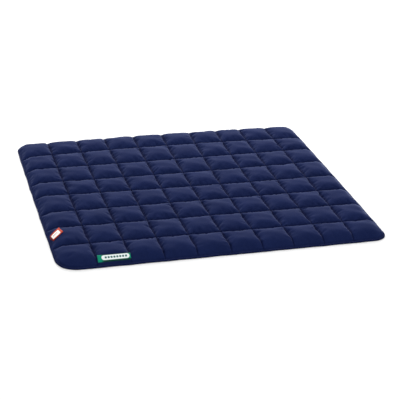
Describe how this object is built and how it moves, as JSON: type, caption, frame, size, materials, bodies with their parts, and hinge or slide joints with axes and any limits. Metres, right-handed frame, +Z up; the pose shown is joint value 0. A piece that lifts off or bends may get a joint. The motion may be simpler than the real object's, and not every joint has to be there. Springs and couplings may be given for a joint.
{
  "type": "quilted pet blanket",
  "caption": "Flat quilted pet blanket with puffed squares, rounded corners, a turned hem, a woven front patch and a folded side tab.",
  "frame": {"origin": "middle of the footprint, on the surface the blanket lies on", "axes": "+X along the long side, to the right seen from the front edge; +Y to the back edge; +Z up"},
  "size_m": [1.0004, 0.8024, 0.0323],
  "materials": {
    "navy_cloth": "matt woven cotton",
    "green_weave": "woven label cloth",
    "red_weave": "woven label cloth"
  },
  "bodies": {
    "root": {"quilt": "navy_cloth", "patch_label": "green_weave", "loop_label": "red_weave"}
  },
  "joints": []
}
